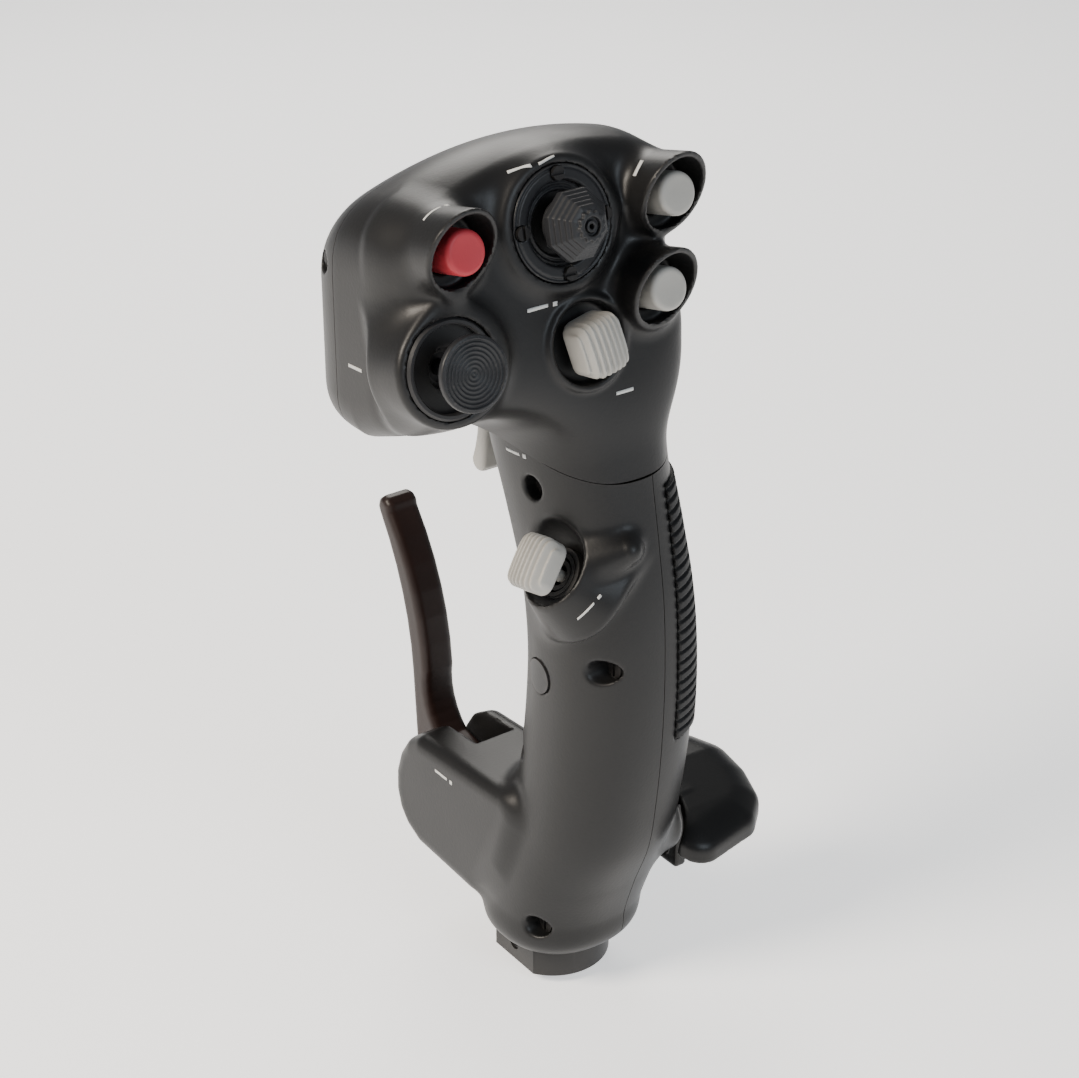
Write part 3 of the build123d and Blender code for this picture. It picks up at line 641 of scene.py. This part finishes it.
def build_controls():
    for name, uv in BUTTONS.items():
        low, high = centre_box(face_point(uv, 3), 10.5)
        solid(name + "_cap", button_field(uv), low, high, 0.35, SLOT_MATERIALS[slots[name]], name, (name,),
              slots[name])
    low, high = centre_box(face_point(MASTER_UV, 6), 13.5)
    solid("master_hat_crown", stepped_field, low, high, 0.25, DARK, "master_hat_cap", ("master_hat_cap",),
          "dark_cap")
    origin = face_point(MANEUVER_UV, -6.8)
    low, high = centre_box(origin + 8 * FACE_N, 13)
    field = ribbed_field(origin, FACE_U, FACE_V, FACE_N, math.radians(12), 16.6, 6.4)
    solid("maneuver_hat_crown", field, low, high, 0.3, LIGHT, "maneuver_hat_cap", ("maneuver_hat_cap",),
          "light_cap")
    low, high = centre_box(RESET_POINT + 7 * RESET_Z, 13)
    field = ribbed_field(RESET_POINT, RESET_X, RESET_Y, RESET_Z, math.radians(100), 14.3, 6.4)
    solid("reset_hat_crown", field, low, high, 0.3, LIGHT, "reset_hat_cap", ("reset_hat_cap",),
          "light_cap")
    low, high = centre_box(face_point(STICK_UV, 3), 16)
    solid("ministick_disc", disc_field, low, high, 0.3, DARK, "ministick_cap", ("ministick_cap",), "dark_cap")
    low, high = centre_box(face_point(MASTER_UV, 1.5), 17)
    solid("master_hat_bezel", ring_field, low, high, 0.3, RIM, BODY, ("master_hat_ring",), "dark_cap")
    solid("head_screw_heads", head_screw_field, (-60, 13, 221.5), (26, 22, 230.5), 0.3, BLACK_SCREW, BODY,
          ("head_screws",), slots["head_screws"])


def ring_field(p):
    """Retaining ring of the stepped hat, with its groove and four screw holes."""
    u, v, h = on_face(p, MASTER_UV)
    r = np.hypot(u, v)
    body = smax(slab(r, 10.6, 14.8), slab(h, 0.05, 3.0), 0.9)
    body = smax(body, -(np.hypot(r - 13.9, h - 3.05) - 0.42), 0.2)
    dish = slab(r, 7.9, 10.9)
    body = smin(body, smax(dish, slab(h, 0.05, 0.9 + 0.35 * (np.abs((r - 8) % 1.3 - 0.65) < 0.33)), 0.3), 0.5)
    for quarter in range(4):
        a = quarter * math.pi / 2
        hole = np.hypot(u - 12.6 * math.cos(a), v - 12.6 * math.sin(a))
        body = smax(body, -np.maximum(hole - 1.95, 2.2 - h), 0.2)
        body = smax(body, -(hole - 1.05), 0.2)
    return body


# ---------------------------------------------------------------- lever, trigger, palm rest
def arc(a, b, c, count=6):
    """Points on the circle through three points, from a towards c, leaving c out."""
    (ax, ay), (bx, by), (cx, cy) = a, b, c
    d = 2 * (ax * (by - cy) + bx * (cy - ay) + cx * (ay - by))
    aa, bb, cc = ax ** 2 + ay ** 2, bx ** 2 + by ** 2, cx ** 2 + cy ** 2
    ux = (aa * (by - cy) + bb * (cy - ay) + cc * (ay - by)) / d
    uy = (aa * (cx - bx) + bb * (ax - cx) + cc * (bx - ax)) / d
    radius = math.hypot(ax - ux, ay - uy)
    t0 = math.atan2(ay - uy, ax - ux)
    turn = (math.atan2(cy - uy, cx - ux) - t0) % (2 * math.pi)
    middle = (math.atan2(by - uy, bx - ux) - t0) % (2 * math.pi)
    if middle > turn:
        turn -= 2 * math.pi
    angles = [t0 + turn * k / count for k in range(count)]
    return [(ux + radius * math.cos(t), uy + radius * math.sin(t)) for t in angles]


LEVER_PROFILE = (
    [(24, 44)] + arc((50.5, 48.5), (56.2, 56), (57.5, 68)) + arc((57.5, 68), (63.0, 94), (75.3, 115.6))
    + arc((75.3, 115.6), (79.9, 119.4), (81.8, 113.4)) + arc((81.8, 113.4), (71.6, 93), (66, 66))
    + [(66, 66)] + arc((64.5, 42), (61, 35.5), (54, 33.2)) + [(54, 33.2), (24, 32)]
)


def lever_field(p):
    """Brake lever: curved blade, hub, pivot bore and the magnet's pocket."""
    d = polygon(p[..., 1], p[..., 2], LEVER_PROFILE)
    from_pivot = np.hypot(p[..., 1] - BRAKE_PIVOT_YZ[0], p[..., 2] - BRAKE_PIVOT_YZ[1])
    body = smax(np.minimum(d, from_pivot - 6.0), slab(p[..., 0], -6, 5), 2.6)
    body = smax(body, -(from_pivot - 2.05), 0.2)
    return smax(body, -rod_x(p, 36, 38, 2.52, -8, -3.5), 0.2)


TRIGGER_PROFILE = (
    [(23.1, 188), (23.9, 166)] + arc((25.3, 150), (28.7, 148), (31.5, 151.5))
    + arc((31.5, 151.5), (28.7, 162), (29.5, 176)) + [(29.5, 176), (29.9, 188)]
)


def trigger_field(p):
    d = polygon(p[..., 1], p[..., 2], TRIGGER_PROFILE)
    from_pivot = np.hypot(p[..., 1] - TRIGGER_PIVOT_YZ[0], p[..., 2] - TRIGGER_PIVOT_YZ[1])
    body = smax(smin(d, from_pivot - 3.6, 1.0), slab(p[..., 0], -6, 8), 2.0)
    return smax(body, -(from_pivot - 1.25), 0.2)


REST_PROFILE = [(20, -41.5), (46, -37), (54, -30), (57.5, -19), (57.5, -7), (53, 3), (44, 8), (20, 8)]
REST_ROUND = 8.0
REST_INNER = shrink(REST_PROFILE, REST_ROUND)


def rest_field(p):
    """Palm rest: dished wing with a turned-down rim, and its slotted carriage."""
    x, y, z = p[..., 0], p[..., 1], p[..., 2]
    plan = polygon(x, y, REST_INNER) - REST_ROUND
    rim = np.clip((plan + 9.0) / 9.0, 0, 1)
    crest = np.interp(y, (-46, -28, -10, 12), (46.5, 51.5, 55.8, 56.9))
    top = crest - 0.003 * np.maximum(x - 36, 0) ** 2 - 3.2 * rim ** 2
    thick = 3.6 + 2.2 * rim
    plate = smax(plan, slab(z, top - thick, top) * 0.88, 1.6)
    ys, zs = REST_SCREW
    carriage = smax(smax(slab(x, 29.75, 34.0), slab(y, ys - 6, ys + 6), 1.2), slab(z, zs - 17, zs + 9), 1.2)
    body = smin(plate, carriage, 2.0)
    for shift in (0, 4, 8, 12):
        raised = p + np.array([0, 0, shift])
        body = smax(body, 1.3 - grip(raised), 0.8)
        body = smax(body, -rod_x(raised, ys, zs, 10.9, 0, 29.72), 0.5)
    slot_z = np.abs(z - (zs - 6)) - 6
    slot = np.hypot(y - ys, np.maximum(slot_z, 0)) - 2.3
    return smax(body, -np.maximum(slot, slab(x, 20, 40)), 0.4)


def build_levers():
    solid("brake_lever_blade", lever_field, (-8, 15, 28), (7, 86, 124), 0.6, LEVER, "brake_lever",
          ("brake_lever",), "lever_finish")
    solid("trigger_blade", trigger_field, (-8, 20, 145), (10, 34, 194), 0.45, LIGHT, "trigger",
          ("trigger",), "light_cap")
    solid("palm_rest_wing", rest_field, (5, -48, 22), (61, 12, 60), 0.6, REST, "palm_rest",
          ("palm_rest",), "rest_plastic")
    solid("grip_pad_teeth", pad_field, (11, -44, 84), (32, -12, 164), 0.45, RUBBER, BODY,
          ("grip_pad",), "rubber_pad")


# ---------------------------------------------------------------- printed marks
def mark(name, field, origin, right, up, shapes):
    """Thin printed marks, draped on a field. Each shape is a bar (x, y, width, height)."""
    verts, faces = [], []
    origin, right, up = (np.asarray(v, float) for v in (origin, right, up))
    for x, y, w, h in shapes:
        nx, ny = max(2, int(w / 0.4) + 1), max(2, int(h / 0.4) + 1)
        base = len(verts)
        for j in range(ny):
            for i in range(nx):
                across, along = x + w * (i / (nx - 1) - 0.5), y + h * (j / (ny - 1) - 0.5)
                verts.append(origin + right * across + up * along)
        for j in range(ny - 1):
            for i in range(nx - 1):
                a = base + j * nx + i
                faces.append((a, a + 1, a + nx + 1, a + nx))
    verts = np.array(verts)
    for _ in range(12):
        value = field(verts) - 0.04
        grad = np.stack([field(verts + 0.02 * e) - field(verts - 0.02 * e) for e in np.eye(3)], -1) / 0.04
        verts = verts - (value / np.maximum((grad ** 2).sum(-1), 0.3))[:, None] * grad
    obj = to_object(name, verts, faces)
    wall = obj.modifiers.new("ink", "SOLIDIFY")
    wall.thickness = 0.05 * MM
    apply_modifiers(obj)
    return finish_piece(obj, INK, BODY, slot="light_cap")


DASH = [(0, 0, 5.5, 0.9)]
DASH_DOT = [(-1.6, 0, 6.2, 0.9), (3.6, 0, 1.3, 1.3)]
TWO_BARS = [(-4.2, 0, 6.2, 0.9), (4.2, 0, 6.2, 0.9)]


def build_marks():
    mark("legend_stick", head_outside, (-63, -2, 203), (0, -1, 0.08), (0, 0.08, 1), TWO_BARS)
    mark("legend_maneuver", head_outside, face_point((-20.5, 18.3), 0.5), FACE_U, FACE_V, DASH_DOT)
    mark("legend_lower", head_outside, face_point((1.3, -8.8), 0.5), FACE_U, FACE_V, DASH)
    mark("legend_red", head_outside, face_point((-48.5, 48.5), 2.3), (0.96, 0.15, 0.24), (0, 1, 0.2),
         DASH_DOT)
    mark("legend_upper", head_outside, face_point((9.5, 49.5), 5), 0.6 * FACE_U + 0.8 * FACE_V, -FACE_N,
         DASH)
    mark("legend_master", head_outside, face_point((-18.5, 53.5), 2), (0.82, -0.45, 0.35), (0, 0.6, 0.8),
         TWO_BARS)
    mark("legend_reset", grip_outside, (-14, -35, 136), (0.63, -0.28, 0.72), (-0.55, -0.4, 0.73), DASH_DOT)
    mark("legend_brake", grip_outside, (-20, 28, 51.4), (0, -1, 0), (0, 0, 1), DASH_DOT)
    mark("legend_trigger", grip_outside, (-18, -6.5, 170.3), (0, -1, 0.1), (0, 0.1, 1), DASH_DOT)


# ---------------------------------------------------------------- camera, light, floor
def aim(obj, target):
    obj.rotation_euler = (Vector(target) - obj.location).to_track_quat("-Z", "Y").to_euler()


def area_light(name, place, target, size, power, color):
    data = bpy.data.lights.new(name, "AREA")
    data.shape = "DISK"
    data.size = size
    data.energy = power
    data.color = color
    lamp = bpy.data.objects.new(name, data)
    bpy.context.scene.collection.objects.link(lamp)
    lamp.location = place
    aim(lamp, target)
    return lamp


def build_stage():
    camera = bpy.data.objects.new("camera", bpy.data.cameras.new("camera"))
    bpy.context.scene.collection.objects.link(camera)
    azimuth, pitch = math.radians(-36.0), math.radians(27.5)
    level = math.cos(pitch)
    back = Vector((math.sin(azimuth) * level, -math.cos(azimuth) * level, math.sin(pitch)))
    camera.location = (-0.3482, -0.4726, 0.4424)
    camera.rotation_euler = back.to_track_quat("Z", "Y").to_euler()
    camera.data.lens = 36.0 * 2400 / 1079
    camera.data.sensor_width = 36.0
    bpy.context.scene.camera = camera
    floor_mesh = bpy.data.meshes.new("floor")
    corners = [(-6, -6, -0.003), (6, -6, -0.003), (6, 6, -0.003), (-6, 6, -0.003)]
    floor_mesh.from_pydata(corners, [], [(0, 1, 2, 3)])
    floor = bpy.data.objects.new("floor", floor_mesh)
    bpy.context.scene.collection.objects.link(floor)
    paper = bpy.data.materials.new("paper")
    paper.use_nodes = True
    shader = paper.node_tree.nodes["Principled BSDF"]
    shader.inputs["Base Color"].default_value = (0.93, 0.93, 0.93, 1)
    shader.inputs["Roughness"].default_value = 0.9
    shader.inputs["Emission Color"].default_value = (1.0, 1.0, 1.0, 1)
    shader.inputs["Emission Strength"].default_value = 0.80
    floor_mesh.materials.append(paper)
    world = bpy.data.worlds.new("studio")
    bpy.context.scene.world = world
    world.use_nodes = True
    background = world.node_tree.nodes["Background"]
    background.inputs["Color"].default_value = (0.92, 0.95, 1.0, 1)
    background.inputs["Strength"].default_value = 0.30
    target = (0, 0, 0.16)
    area_light("key", (-0.95, 0.10, 0.95), target, 0.50, 24, (1.0, 0.90, 0.78))
    area_light("front", (0.15, -1.15, 0.75), target, 0.6, 6, (0.80, 0.90, 1.0))
    area_light("rim", (0.5, 0.9, 0.8), target, 0.6, 7, (1.0, 0.97, 0.92))


build_stage()
build_head()
build_grip()
build_controls()
build_levers()
build_marks()
